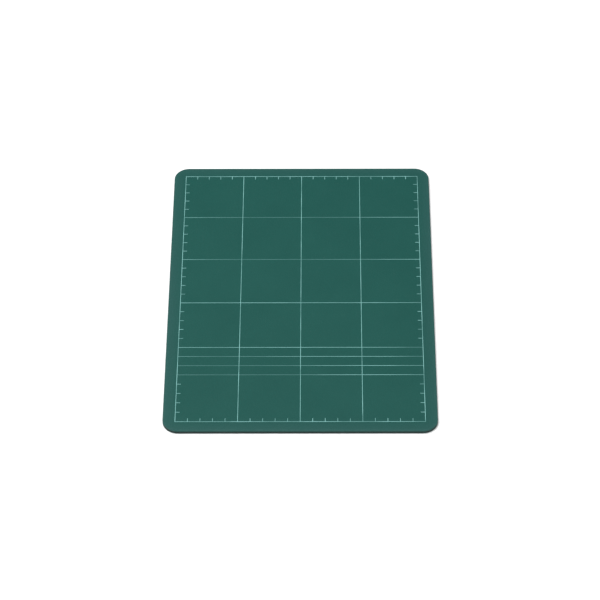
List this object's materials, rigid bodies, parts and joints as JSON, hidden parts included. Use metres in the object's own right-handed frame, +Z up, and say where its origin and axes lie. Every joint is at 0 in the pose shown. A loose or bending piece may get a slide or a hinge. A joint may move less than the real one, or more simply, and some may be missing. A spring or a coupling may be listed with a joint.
{
  "type": "self healing cutting mat",
  "caption": "Thin laminated rectangular desk mat with rounded corners and a printed measuring grid, for cutting leather on.",
  "frame": {"origin": "middle of the underside, on the surface that the mat lies on", "axes": "+X across the mat to the right, +Y along its length to the back, away from the user, +Z up out of the printed face"},
  "size_m": [0.22, 0.3, 0.003],
  "materials": {
    "cutting_layer": "fine-grained matte soft vinyl, dark blue-green",
    "core": "die-cut edge of a stiff near-black vinyl sheet",
    "bond_film": "thin grey-green adhesive film",
    "ink": "matte screen-printed ink, pale mint"
  },
  "bodies": {
    "root": {"bottom_cutting_layer": "cutting_layer", "lower_bond_film": "bond_film", "core_sheet": "core", "upper_bond_film": "bond_film", "top_cutting_layer": "cutting_layer", "print_border": "ink", "print_grid_lengthwise": "ink", "print_grid_crosswise": "ink", "print_band_lines": "ink", "print_scale_left": "ink", "print_scale_right": "ink", "print_scale_front": "ink", "print_scale_back": "ink"}
  },
  "joints": []
}
